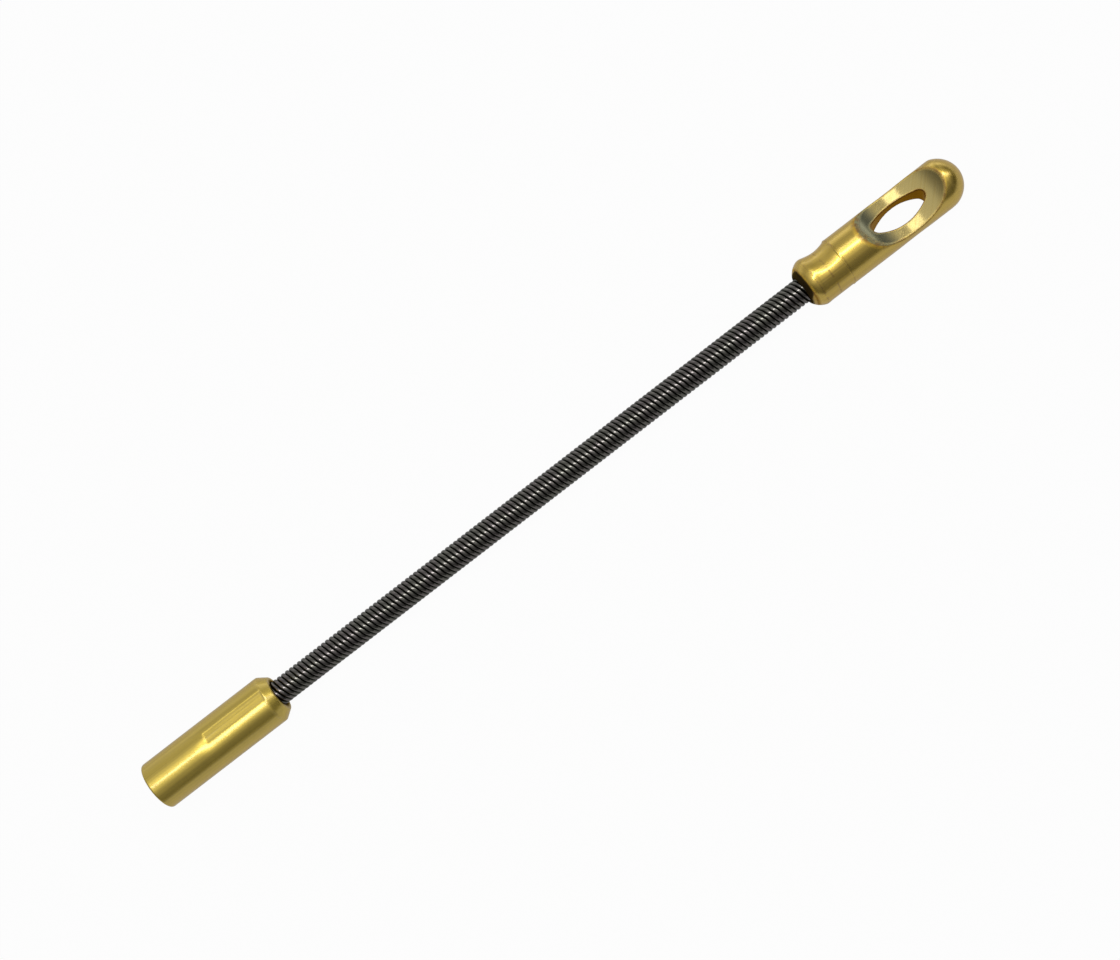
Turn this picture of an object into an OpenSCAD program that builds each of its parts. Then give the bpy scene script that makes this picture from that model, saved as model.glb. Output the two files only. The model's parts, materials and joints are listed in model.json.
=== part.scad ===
// Flexible pulling leader for a cable draw rod.
// A turned brass socket and a turned brass pulling eye are joined by a bendable wire member:
// parallel steel wires wound side by side round a fine steel rope.
// The leader lies along X. The origin is the centre of the socket's open mouth, the eye is at the
// +X end, and the two flats of the eye face up and down.

/* [Brass ends] */
// Diameter of the brass bar that both ends are turned from
brass_d = 8; // [7.6:0.1:9]
// Length of the threaded socket
socket_len = 23.4; // [21:0.1:28]
// Length of the pulling eye, from its back end to the tip of its nose
eye_len = 29.4; // [29:0.1:33]
// Diameter of the holes that hold the wire member
seat_d = 4.2; // [4.2:0.05:4.5]

/* [Socket] */
// Diameter of the tapping hole for an M5 thread
tap_d = 4.2; // [4.1:0.05:4.3]
// Depth of the threaded hole
thread_depth = 9.5; // [8:0.1:10]
// Width of the countersink at the threaded mouth
mouth_sink = 0.5; // [0.3:0.1:0.6]
// Radius of the rounded corner round the threaded mouth
mouth_round = 0.4; // [0.2:0.1:0.5]
// Depth of the hole that the wire member is fixed in
socket_seat = 12.4; // [10:0.1:13]
// Length of the chamfer at the wire end, along the axis
chamfer_len = 1.5; // [1:0.1:2]
// Width of the chamfer at the wire end, across the axis
chamfer_drop = 1.05; // [0.5:0.05:1.2]
// Length of the flat that the fixing tool pressed into the top
press_len = 11.3; // [6:0.1:11.5]
// Depth of the pressed flat
press_depth = 0.115; // [0.05:0.005:0.2]
// Distance from the wire end of the socket to the pressed flat
press_inset = 1.5; // [1.2:0.1:2.4]

/* [Pulling eye] */
// Depth of the hole that the wire member is fixed in
eye_seat = 11.2; // [9:0.1:11.5]
// Length over which the back end is rolled in towards the wires
rolled_len = 2; // [1.5:0.1:2.2]
// Radius of the curve of the rolled-in back end, in section
rolled_r = 3.3; // [2.4:0.1:4]
// Diameter of the mouth round the wires
back_mouth_d = 4.6; // [4.5:0.05:4.8]
// Distance from the back end to the middle of the crimped waist
waist_at = 4.8; // [4.4:0.1:5.4]
// Length of the crimped waist
waist_len = 3.9; // [3:0.1:4.2]
// Depth of the crimped waist on its deep side
waist_depth = 0.4; // [0.2:0.05:0.5]
// Distance from the back end to the middle of the two scooped flats
scoop_at = 18.6; // [18.4:0.1:19.4]
// Radius of the cutter that scoops the flats
scoop_r = 10; // [9.5:0.1:11]
// Thickness of the web left between the scooped flats
web_t = 1.75; // [1.4:0.05:2.2]
// Length of the oval eye
oval_len = 9.5; // [8:0.1:9.6]
// Width of the oval eye
oval_w = 3.8; // [3.2:0.05:3.9]
// Distance from the back end to the middle of the oval eye
oval_at = 18.2; // [17.8:0.1:19.4]
// Radius of the domed nose
nose_r = 4.1; // [4.05:0.05:4.8]

/* [Wire member] */
// Length of the wire member that shows between the brass ends
flex_len = 99.5; // [80:0.5:120]
// Number of wires that wind side by side
wire_count = 5; // [4:1:5]
// Diameter of each wire
wire_d = 0.73; // [0.6:0.01:0.74]
// Radius of the circle that the middle of each wire follows
wire_ring_r = 1.66; // [1.64:0.01:1.68]
// Turns that each wire makes along the leader
wire_turns = 18; // [12:1:18]
// Length of winding that goes into each brass end
wound_into = 1.5; // [1:0.1:3]
// Diameter of the rope core that takes the pull
core_d = 2.2; // [1.8:0.05:2.25]

/* [Bending] */
// Number of places along the rope core where the leader bends
bend_count = 16; // [8:2:20]
// Gap between two lengths of the rope core at each bend
bend_gap = 0.5; // [0.4:0.05:0.8]

/* [Hidden] */
$fn = 72;
sides = 6;
rings_per_turn = 8;
least_allowed_gap = 0.4;
overcut = 1;
brass = [0.72, 0.62, 0.32];
black_steel = [0.11, 0.10, 0.12];
rope_steel = [0.45, 0.45, 0.47];

bar_r = brass_d / 2;
eye_x = socket_len + flex_len;
socket_floor_x = socket_len - socket_seat;
eye_floor_x = eye_x + eye_seat;
link_len = flex_len / bend_count;
section_count = bend_count + 1;

// The waist is cut by a ring whose middle is moved off the axis, so it fades out on the far side
waist_shift = waist_depth / 2 + 0.015;
waist_floor_r = bar_r - waist_depth + waist_shift;
waist_arc_r = (pow(waist_len / 2, 2) + pow(waist_depth, 2)) / (2 * waist_depth);

// The winding of each wire, and the straight ends that run from it to the floors of the seats
wound_start_x = socket_len - wound_into;
wound_end_x = eye_x + wound_into;
wire_lead = (wound_end_x - wound_start_x) / wire_turns;
last_ring = wire_turns * rings_per_turn;

// Turns a solid that is modelled along Z so that it lies along X from the place x
module along_x(x) {
    translate([x, 0, 0]) rotate([0, 90, 0]) children();
}

// The socket's outside: a bar with a rounded corner at its mouth and a chamfer at its wire end
module socket_bar() {
    rotate_extrude() {
        translate([0, mouth_round]) square([bar_r, socket_len - chamfer_len - mouth_round]);
        square([bar_r - mouth_round, mouth_round]);
        translate([bar_r - mouth_round, mouth_round]) circle(mouth_round);
        polygon([
            [0, socket_len - chamfer_len],
            [bar_r, socket_len - chamfer_len],
            [bar_r - chamfer_drop, socket_len],
            [0, socket_len]
        ]);
    }
}

// Tapping hole with its countersunk mouth
module thread_hole() {
    translate([0, 0, -overcut]) cylinder(d = tap_d, h = thread_depth + overcut);
    cylinder(r1 = tap_d / 2 + mouth_sink, r2 = tap_d / 2, h = mouth_sink);
}

// The shallow flat that fixes the socket on the wires, a little below the round of the bar
module pressed_flat() {
    translate([socket_len - press_inset - press_len, -bar_r, bar_r - press_depth])
        cube([press_len, brass_d, overcut]);
}

module socket() {
    color(brass) difference() {
        along_x(0) difference() {
            socket_bar();
            thread_hole();
            translate([0, 0, socket_floor_x]) cylinder(d = seat_d, h = socket_seat + overcut);
        }
        pressed_flat();
    }
}

// Half section of the rolled-in back end: a slice of a disc that passes through the edge of the
// mouth and through the round of the bar
module rolled_section() {
    edge_r = back_mouth_d / 2;
    reach = norm([bar_r - edge_r, rolled_len]);
    inward = sqrt(pow(rolled_r, 2) - pow(reach / 2, 2)) / reach;
    middle = [
        (bar_r + edge_r) / 2 - rolled_len * inward,
        rolled_len / 2 + (bar_r - edge_r) * inward
    ];
    intersection() {
        translate(middle) circle(rolled_r);
        square([bar_r, rolled_len]);
    }
}

// The eye's outside before it is scooped: a bar with a rolled-in back end and a domed nose
module eye_bar() {
    rotate_extrude() rolled_section();
    intersection() {
        translate([0, 0, rolled_len]) cylinder(r = bar_r, h = eye_len - rolled_len + overcut);
        union() {
            cylinder(r = bar_r + overcut, h = eye_len - nose_r);
            translate([0, 0, eye_len - nose_r]) sphere(nose_r, $fn = 96);
        }
    }
}

// Seat for the wires, opened out at its mouth
module eye_seat_hole() {
    translate([0, 0, -overcut]) cylinder(d = seat_d, h = eye_seat + overcut);
    cylinder(d1 = back_mouth_d, d2 = seat_d, h = (back_mouth_d - seat_d) / 2);
}

// The eccentric ring that is cut away to leave the crimped waist
module crimp_ring() {
    translate([0, -waist_shift, waist_at]) rotate_extrude()
        translate([waist_floor_r + waist_arc_r, 0]) circle(waist_arc_r);
}

// An oval made of two long side arcs and two round ends that meet them smoothly
module oval(len, width) {
    end_r = width * 0.28;
    reach = len / 2 - end_r;
    side_r = (pow(reach, 2) + pow(width / 2, 2) - pow(end_r, 2)) / (width - 2 * end_r);
    tangent_x = reach * side_r / (side_r - end_r);
    intersection() {
        translate([0, side_r - width / 2]) circle(side_r, $fn = 180);
        translate([0, width / 2 - side_r]) circle(side_r, $fn = 180);
        translate([-tangent_x, -width]) square([2 * tangent_x, 2 * width]);
    }
    for (way = [-1, 1]) translate([way * reach, 0]) circle(end_r);
}

module scoops() {
    for (way = [-1, 1])
        translate([scoop_at, 0, way * (web_t / 2 + scoop_r)])
            rotate([90, 0, 0]) cylinder(r = scoop_r, h = brass_d + 2 * overcut, center = true, $fn = 120);
}

module eye_head() {
    color(brass) translate([eye_x, 0, 0]) difference() {
        along_x(0) difference() {
            eye_bar();
            eye_seat_hole();
        }
        rotate([0, 90, 0]) crimp_ring();
        scoops();
        translate([oval_at, 0, -bar_r]) linear_extrude(brass_d) oval(oval_len, oval_w);
    }
}

// Place of the middle of a wire: ring number j of its winding, for a wire that starts at angle a
function wound_point(j, a) = let (turn = 360 * j / rings_per_turn + a) [
    wound_start_x + wire_lead * j / rings_per_turn,
    wire_ring_r * cos(turn),
    wire_ring_r * sin(turn)
];

// Direction of the wire at that ring
function wound_heading(j, a) = let (
    turn = 360 * j / rings_per_turn + a,
    across = 2 * PI * wire_ring_r,
    along = wire_lead
) [along, -across * sin(turn), across * cos(turn)] / norm([along, across]);

function unit(v) = v / norm(v);

// One ring of a wire's surface, square to heading t round point p, with a corner pointing outwards
function wire_ring(p, t) = let (out = unit([0, p[1], p[2]]), side = cross(t, out)) [
    for (k = [0:sides - 1]) let (a = 360 * k / sides) p + wire_d / 2 * (cos(a) * out + sin(a) * side)
];

// All rings of a wire: a straight end on the socket's floor, the winding, a straight end on the eye's
function wire_rings(a) = let (
    first = wound_point(0, a),
    last = wound_point(last_ring, a),
    lead_in = unit(wound_heading(0, a) + [1, 0, 0]),
    lead_out = unit(wound_heading(last_ring, a) + [1, 0, 0])
) concat(
    [wire_ring([socket_floor_x, first[1], first[2]], [1, 0, 0])],
    [wire_ring(first, lead_in)],
    [for (j = [1:last_ring - 1]) wire_ring(wound_point(j, a), wound_heading(j, a))],
    [wire_ring(last, lead_out)],
    [wire_ring([eye_floor_x, last[1], last[2]], [1, 0, 0])]
);

// Triangles that close a tube of the given number of rings
function tube_faces(rings) = concat(
    [for (k = [1:sides - 2]) [0, k, k + 1]],
    [for (j = [0:rings - 2], k = [0:sides - 1]) let (next = (k + 1) % sides)
        each [
            [j * sides + k, (j + 1) * sides + next, j * sides + next],
            [j * sides + k, (j + 1) * sides + k, (j + 1) * sides + next]
        ]],
    [for (k = [1:sides - 2]) let (base = (rings - 1) * sides) [base, base + k + 1, base + k]]
);

module outer_wire(i) {
    rings = wire_rings(360 * (i - 1) / wire_count);
    color(black_steel)
        polyhedron(points = [for (ring = rings) each ring], faces = tube_faces(len(rings)));
}

// Place along X of bend number k
function bend_x(k) = socket_len + (k - 0.5) * link_len;

// One length of the rope core, from bend to bend. The first and last reach the floors of the seats
module core_rope(i) {
    from = i == 1 ? socket_floor_x : bend_x(i - 1) + bend_gap / 2;
    to = i == section_count ? eye_floor_x : bend_x(i) - bend_gap / 2;
    color(rope_steel) along_x(from) cylinder(d = core_d, h = to - from);
}

// Least gap between two turns of one wire, and between two wires, measured on the rings' middles
half_turn = rings_per_turn / 2;
one_wire = [for (j = [0:last_ring]) wound_point(j, 0)];
next_wire = [for (j = [0:last_ring]) wound_point(j, 360 / wire_count)];
own_gap = min([for (i = [0:last_ring - half_turn], j = [i + half_turn:last_ring])
    norm(one_wire[i] - one_wire[j])]) - wire_d;
neighbour_gap = min([for (p = one_wire, q = next_wire) norm(p - q)]) - wire_d;
echo(least_gap_of_a_wire_to_itself = own_gap, allowed = own_gap > least_allowed_gap);
echo(least_gap_between_two_wires = neighbour_gap);

socket();
eye_head();
for (i = [1:wire_count]) outer_wire(i);
for (i = [1:section_count]) core_rope(i);
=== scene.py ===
"""Looks of a flexible pulling leader: brass socket, brass pulling eye and bendable wire member.

The leader lies along X, with the socket's open mouth at the origin and the two flats of the eye
facing up and down. Where nothing else is said, sizes are in millimetres and angles in degrees.
Meshes are written in metres.
"""

import json
import logging
import math
from dataclasses import dataclass
from enum import Enum
from typing import Callable, NamedTuple

import bpy
import numpy as np
from mathutils import Matrix, Vector

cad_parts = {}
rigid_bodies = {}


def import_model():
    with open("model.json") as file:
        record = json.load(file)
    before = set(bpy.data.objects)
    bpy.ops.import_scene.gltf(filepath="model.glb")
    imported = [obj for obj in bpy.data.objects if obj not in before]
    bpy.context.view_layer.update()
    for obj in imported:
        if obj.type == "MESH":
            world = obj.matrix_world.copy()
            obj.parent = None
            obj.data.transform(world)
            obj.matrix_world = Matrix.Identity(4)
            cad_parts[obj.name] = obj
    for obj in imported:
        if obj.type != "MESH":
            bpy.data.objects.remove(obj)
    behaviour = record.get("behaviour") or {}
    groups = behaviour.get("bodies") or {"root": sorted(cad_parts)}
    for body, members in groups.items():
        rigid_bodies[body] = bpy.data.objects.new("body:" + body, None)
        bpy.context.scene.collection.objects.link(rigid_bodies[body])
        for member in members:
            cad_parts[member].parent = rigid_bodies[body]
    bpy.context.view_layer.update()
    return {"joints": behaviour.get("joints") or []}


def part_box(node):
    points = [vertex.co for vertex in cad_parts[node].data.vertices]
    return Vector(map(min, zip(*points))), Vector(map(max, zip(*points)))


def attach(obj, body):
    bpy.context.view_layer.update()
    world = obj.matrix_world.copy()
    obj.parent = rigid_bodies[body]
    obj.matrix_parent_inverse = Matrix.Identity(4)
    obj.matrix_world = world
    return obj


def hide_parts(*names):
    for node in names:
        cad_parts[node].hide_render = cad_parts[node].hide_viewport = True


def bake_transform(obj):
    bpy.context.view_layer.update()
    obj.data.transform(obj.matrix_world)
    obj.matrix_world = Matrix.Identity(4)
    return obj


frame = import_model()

LOG = logging.getLogger("leader")
MM = 0.001
TURN = 2 * math.pi
FAR = 9.0  # stands for a distance that is out of reach of any edge
PATTERN_SHIFT = 37.0  # moves the pattern on from one strand to the next

Array = np.ndarray
Colour = tuple[float, float, float]
Span = tuple[float, float]
Faces = list[list[int]]
Plug = bpy.types.NodeSocket
Value = float | Plug


class Wear(Enum):
    """Masks that a brass piece carries on its mesh, one value for each vertex."""

    MILLED = "milled"
    PRESSED = "pressed"
    # Inside the bores and on the oval hole's wall, where the brass gets painted shade and no coat.
    BORED = "bored"
    EDGE = "edge"
    # Grey reflection painted on the milled scoops near the neck.
    PAINTED_GREY_REFLECTION = "painted_grey_reflection"
    # Near-black shade painted round the wire mouths of both brass pieces.
    PAINTED_MOUTH_SHADE = "painted_mouth_shade"


class OnWire(Enum):
    """Coordinates that a strand carries on its mesh, one value for each vertex."""

    ALONG = "along_wire"
    ASIDE = "round_wire"


def blended_max(walls: list[Array], softness: float) -> Array:
    """Largest of several values, with the corner between two of them rounded.

    Args:
        walls: Values of the same shape, such as signed distances.
        softness: How far the rounding reaches, in the unit of the values.

    Returns:
        The rounded largest value at each place.
    """
    stack = np.stack(walls)
    top = stack.max(axis=0)
    return top + softness * np.log(np.exp((stack - top) / softness).sum(axis=0))


def ramp(value: Array, start: float, end: float) -> Array:
    """Smooth step from 0 to 1 as a value goes from start to end."""
    share = np.clip((value - start) / (end - start), 0, 1)
    return share * share * (3 - 2 * share)


def ridge(value: Array, middle: float, width: float) -> Array:
    """Bell of height 1 round a middle value, down to about a third one width away."""
    return np.exp(-(((value - middle) / width) ** 2))


def rounded_box(across: Array, along: Array, half: Span, corner: float) -> Array:
    """Signed distance to a rectangle with rounded corners.

    Args:
        across: First coordinate from the rectangle's middle.
        along: Second coordinate from the rectangle's middle.
        half: Half sizes of the rectangle in both directions.
        corner: Radius of its corners.

    Returns:
        The distance, below 0 inside.
    """
    dx = np.abs(across) - half[0] + corner
    dy = np.abs(along) - half[1] + corner
    outside = np.hypot(np.maximum(dx, 0), np.maximum(dy, 0))
    return outside + np.minimum(np.maximum(dx, dy), 0) - corner


def pointed_oval(along: Array, across: Array, length: float, width: float, tip: float) -> Array:
    """Signed distance to an oval made of two long side arcs and two small round ends.

    Args:
        along: Coordinate along the oval, from its middle.
        across: Coordinate across the oval, from its middle.
        length: Full length of the oval.
        width: Full width of the oval.
        tip: Radius of the round ends.

    Returns:
        The distance, below 0 inside.
    """
    reach = length / 2 - tip
    side_r = (reach**2 + (width / 2) ** 2 - tip**2) / (width - 2 * tip)
    inner_r = side_r - tip
    drop = math.sqrt(inner_r**2 - reach**2)
    u, v = np.abs(along), np.abs(across)
    at_tip = (u - reach) * drop > v * reach
    to_tip = np.hypot(u - reach, v)
    to_arc = np.hypot(u, v + drop) - inner_r
    return np.where(at_tip, to_tip, to_arc) - tip


def edge_mask(walls: dict[str, Array], rounding: tuple[str, ...], reach: Array | float) -> Array:
    """How near each surface point is to an edge between two walls.

    Args:
        walls: Signed distances of the walls at the points.
        rounding: Walls that only round an edge off and make no edge with their neighbours.
        reach: Distance over which the mask fades.

    Returns:
        1 on an edge and 0 away from it.
    """
    ranked = np.sort(np.stack([w for name, w in walls.items() if name not in rounding]), axis=0)
    return np.clip(1 - (ranked[-1] - ranked[-2]) / reach, 0, 1)


@dataclass(frozen=True)
class NetMesher:
    """Wraps an even quad mesh round the place where a field changes sign.

    The field gives signed distances, below 0 inside the solid. The step is the distance between
    two points of the lattice that it is first measured on.
    """

    field: Callable[[Array], Array]
    step: float
    probe: float = 0.002
    moves: int = 3
    flattest: float = 0.05
    rounds: int = 4
    evening: float = 0.6

    def slope(self, points: Array) -> Array:
        """Direction and steepness in which the field grows.

        Args:
            points: Places, one a row.

        Returns:
            One vector a row.
        """
        shifts = self.probe * np.eye(3)
        rises = [self.field(points + shift) - self.field(points - shift) for shift in shifts]
        return np.stack(rises, axis=-1) / (2 * self.probe)

    def project(self, points: Array) -> Array:
        """Moves points along the field's slope until they lie on the surface.

        Args:
            points: Places close to the surface.

        Returns:
            The moved places.
        """
        for _ in range(self.moves):
            slope = self.slope(points)
            steep = np.maximum((slope**2).sum(axis=1), self.flattest)
            move = np.clip(self.field(points) / steep, -self.step / 2, self.step / 2)
            points = points - move[:, None] * slope
        return points

    def crossings(self, low: Array, high: Array) -> tuple[Array, Array]:
        """First rough mesh, from the lattice edges that the surface crosses.

        Args:
            low: Lowest corner of the lattice.
            high: Highest corner of the lattice.

        Returns:
            The vertices and the quads.
        """
        count = np.ceil((high - low) / self.step).astype(int) + 1
        axes = [low[i] + self.step * np.arange(count[i]) for i in range(3)]
        lattice = np.stack(np.meshgrid(*axes, indexing="ij"), axis=-1)
        value = self.field(lattice.reshape(-1, 3)).reshape(tuple(count))
        wide = tuple(count + 1)
        total, hits, quads = np.zeros((int(np.prod(wide)), 3)), np.zeros(int(np.prod(wide))), []
        for a in range(3):
            b, c = (a + 1) % 3, (a + 2) % 3
            near = value.take(range(count[a] - 1), axis=a)
            far = value.take(range(1, count[a]), axis=a)
            edge = np.argwhere((near < 0) != (far < 0))
            first, second = near[tuple(edge.T)], far[tuple(edge.T)]
            place = low + self.step * edge
            place[:, a] += self.step * first / (first - second)
            corners = []
            for shift_b, shift_c in ((0, 0), (1, 0), (1, 1), (0, 1)):
                cell = edge.copy()
                cell[:, a] += 1
                cell[:, b] += shift_b
                cell[:, c] += shift_c
                flat = np.ravel_multi_index(tuple(cell.T), wide)
                corners.append(flat)
                for axis in range(3):
                    total[:, axis] += np.bincount(flat, place[:, axis], len(total))
                hits += np.bincount(flat, minlength=len(hits))
            quad = np.stack(corners, axis=1)
            quads.append(np.where((first < 0)[:, None], quad, quad[:, ::-1]))
        used = np.flatnonzero(hits)
        number = np.zeros(len(hits), int)
        number[used] = np.arange(len(used))
        return total[used] / hits[used, None], number[np.concatenate(quads)]

    def build(self, low: Array, high: Array) -> tuple[Array, Array, Array]:
        """Even mesh that lies on the surface.

        Args:
            low: Lowest corner of the space that holds the solid.
            high: Highest corner of that space.

        Returns:
            The vertices, the quads and one unit normal for each vertex.
        """
        points, quads = self.crossings(low, high)
        starts, ends = quads.ravel(), np.roll(quads, -1, axis=1).ravel()
        a, b = np.concatenate([starts, ends]), np.concatenate([ends, starts])
        degree = np.bincount(a, minlength=len(points))
        for _ in range(self.rounds):
            mean = np.stack([np.bincount(a, points[b, i], len(points)) for i in range(3)], axis=1)
            mean /= degree[:, None]
            points = self.project((1 - self.evening) * points + self.evening * mean)
        normals = self.slope(points)
        normals /= np.linalg.norm(normals, axis=1)[:, None]
        return points, quads, normals


def write_mesh(
    name: str, points: Array, faces: Faces, normals: Array | None = None
) -> bpy.types.Object:
    """Makes an object from points in millimetres.

    Args:
        name: Name of the object and of its mesh.
        points: Vertices, one a row.
        faces: Vertex numbers of each face.
        normals: Unit normals, one a vertex, if the surface is smoother than its faces.

    Returns:
        The new object, linked to the scene and shaded smooth.
    """
    mesh = bpy.data.meshes.new(name)
    mesh.from_pydata((points * MM).tolist(), [], faces)
    mesh.shade_smooth()
    if normals is not None:
        mesh.normals_split_custom_set_from_vertices(normals.tolist())
    piece = bpy.data.objects.new(name, mesh)
    bpy.context.scene.collection.objects.link(piece)
    return piece


def write_values(piece: bpy.types.Object, name: Enum, values: Array) -> None:
    """Stores one number for each vertex, for the piece's material to read."""
    attribute = piece.data.attributes.new(name.value, "FLOAT", "POINT")
    attribute.data.foreach_set("value", values.astype(np.float32))


class Bench:
    """Adds nodes to one node tree and joins them up. A plug is where a node's result comes out."""

    def __init__(self, tree: bpy.types.NodeTree) -> None:
        """Starts with an empty tree."""
        self.tree = tree
        tree.nodes.clear()

    def add(self, kind: str, inputs: dict | None = None, **settings: object) -> bpy.types.Node:
        """Adds one node.

        Args:
            kind: Blender's name of the node type.
            inputs: For each input, by name or number, a value or the plug that feeds it.
            settings: Properties of the node.

        Returns:
            The new node.
        """
        node = self.tree.nodes.new(kind)
        for key, value in settings.items():
            setattr(node, key, value)
        for key, value in (inputs or {}).items():
            if isinstance(value, Plug):
                self.tree.links.new(value, node.inputs[key])
            else:
                node.inputs[key].default_value = value
        return node

    def math(self, operation: str, *values: Value, clamp: bool = False) -> Plug:
        """Adds a Math node, clamped from 0 to 1 or not."""
        inputs = dict(enumerate(values))
        return self.add("ShaderNodeMath", inputs, operation=operation, use_clamp=clamp).outputs[0]

    def step(self, value: Value, low: Value, high: Value) -> Plug:
        """Adds a smooth step from 0 at low to 1 at high."""
        inputs = {0: value, 1: low, 2: high}
        return self.add("ShaderNodeMapRange", inputs, interpolation_type="SMOOTHSTEP").outputs[0]

    def band(self, value: Value, rise: Span, fall: Span) -> Plug:
        """Adds a band that steps up to 1 over one span of the value and down again over another."""
        return self.math("SUBTRACT", self.step(value, *rise), self.step(value, *fall))

    def bell(self, away: Value, sharpness: float) -> Plug:
        """Adds a bell of height 1.

        Args:
            away: Distance from the middle.
            sharpness: One over the distance at which the bell has fallen to about a third.

        Returns:
            The height of the bell.
        """
        scaled = self.math("MULTIPLY", away, sharpness)
        square = self.math("MULTIPLY", scaled, scaled)
        return self.math("EXPONENT", self.math("MULTIPLY", square, -1.0))

    def mix(self, share: Value, first: Colour | Plug, second: Colour | Plug) -> Plug:
        """Adds a colour mix.

        Args:
            share: Share of the second colour.
            first: The first colour.
            second: The second colour.

        Returns:
            The mixed colour.
        """
        colours = [c if isinstance(c, Plug) else (*c, 1) for c in (first, second)]
        inputs = {0: share, 6: colours[0], 7: colours[1]}
        return self.add("ShaderNodeMix", inputs, data_type="RGBA").outputs[2]

    def join(self, x: Value, y: Value, z: Value) -> Plug:
        """Adds a vector made of three values."""
        return self.add("ShaderNodeCombineXYZ", {0: x, 1: y, 2: z}).outputs[0]

    def split(self, vector: Plug) -> bpy.types.NodeOutputs:
        """Adds the node that gives a vector's three values."""
        return self.add("ShaderNodeSeparateXYZ", {0: vector}).outputs

    def place(self) -> Plug:
        """Adds the surface point's place on the piece in millimetres."""
        where = {0: self.add("ShaderNodeTexCoord").outputs["Object"], "Scale": 1 / MM}
        return self.add("ShaderNodeVectorMath", where, operation="SCALE").outputs[0]

    def mask(self, name: Enum) -> Plug:
        """Adds a node that reads one of the mesh's stored values."""
        return self.add("ShaderNodeAttribute", attribute_name=name.value).outputs["Fac"]

    def noise(self, place: Plug, **inputs: Value) -> Plug:
        """Adds a noise texture. Its other inputs are given by their names in small letters."""
        named = {key.capitalize(): value for key, value in inputs.items()}
        return self.add("ShaderNodeTexNoise", {"Vector": place, **named}).outputs["Fac"]

    def use(self, group: bpy.types.NodeTree, **inputs: Value) -> Plug:
        """Places a shared group. Its inputs are given by their names in small letters."""
        named = {key.capitalize(): value for key, value in inputs.items()}
        return self.add("ShaderNodeGroup", named, node_tree=group).outputs[0]

    def bump(self, height: Plug, depth: float, under: Plug | None = None) -> Plug:
        """Adds a bump.

        Args:
            height: Height of the relief, over a range of 1.
            depth: How deep that range is, in millimetres.
            under: The normal that the bump is laid on, if any.

        Returns:
            The bumped normal.
        """
        inputs = {"Height": height, "Distance": depth * MM, "Strength": 1.0}
        if under is not None:
            inputs["Normal"] = under
        return self.add("ShaderNodeBump", inputs).outputs[0]

    def principled(self, inputs: dict) -> None:
        """Adds a Principled BSDF as the surface of the material."""
        shader = self.add("ShaderNodeBsdfPrincipled", inputs)
        self.add("ShaderNodeOutputMaterial", {"Surface": shader.outputs[0]})


def new_material(name: str) -> tuple[bpy.types.Material, Bench]:
    """Makes a material.

    Args:
        name: Name of the material.

    Returns:
        The material and a bench on its empty node tree.
    """
    made = bpy.data.materials.new(name)
    made.use_nodes = True
    return made, Bench(made.node_tree)


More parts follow.
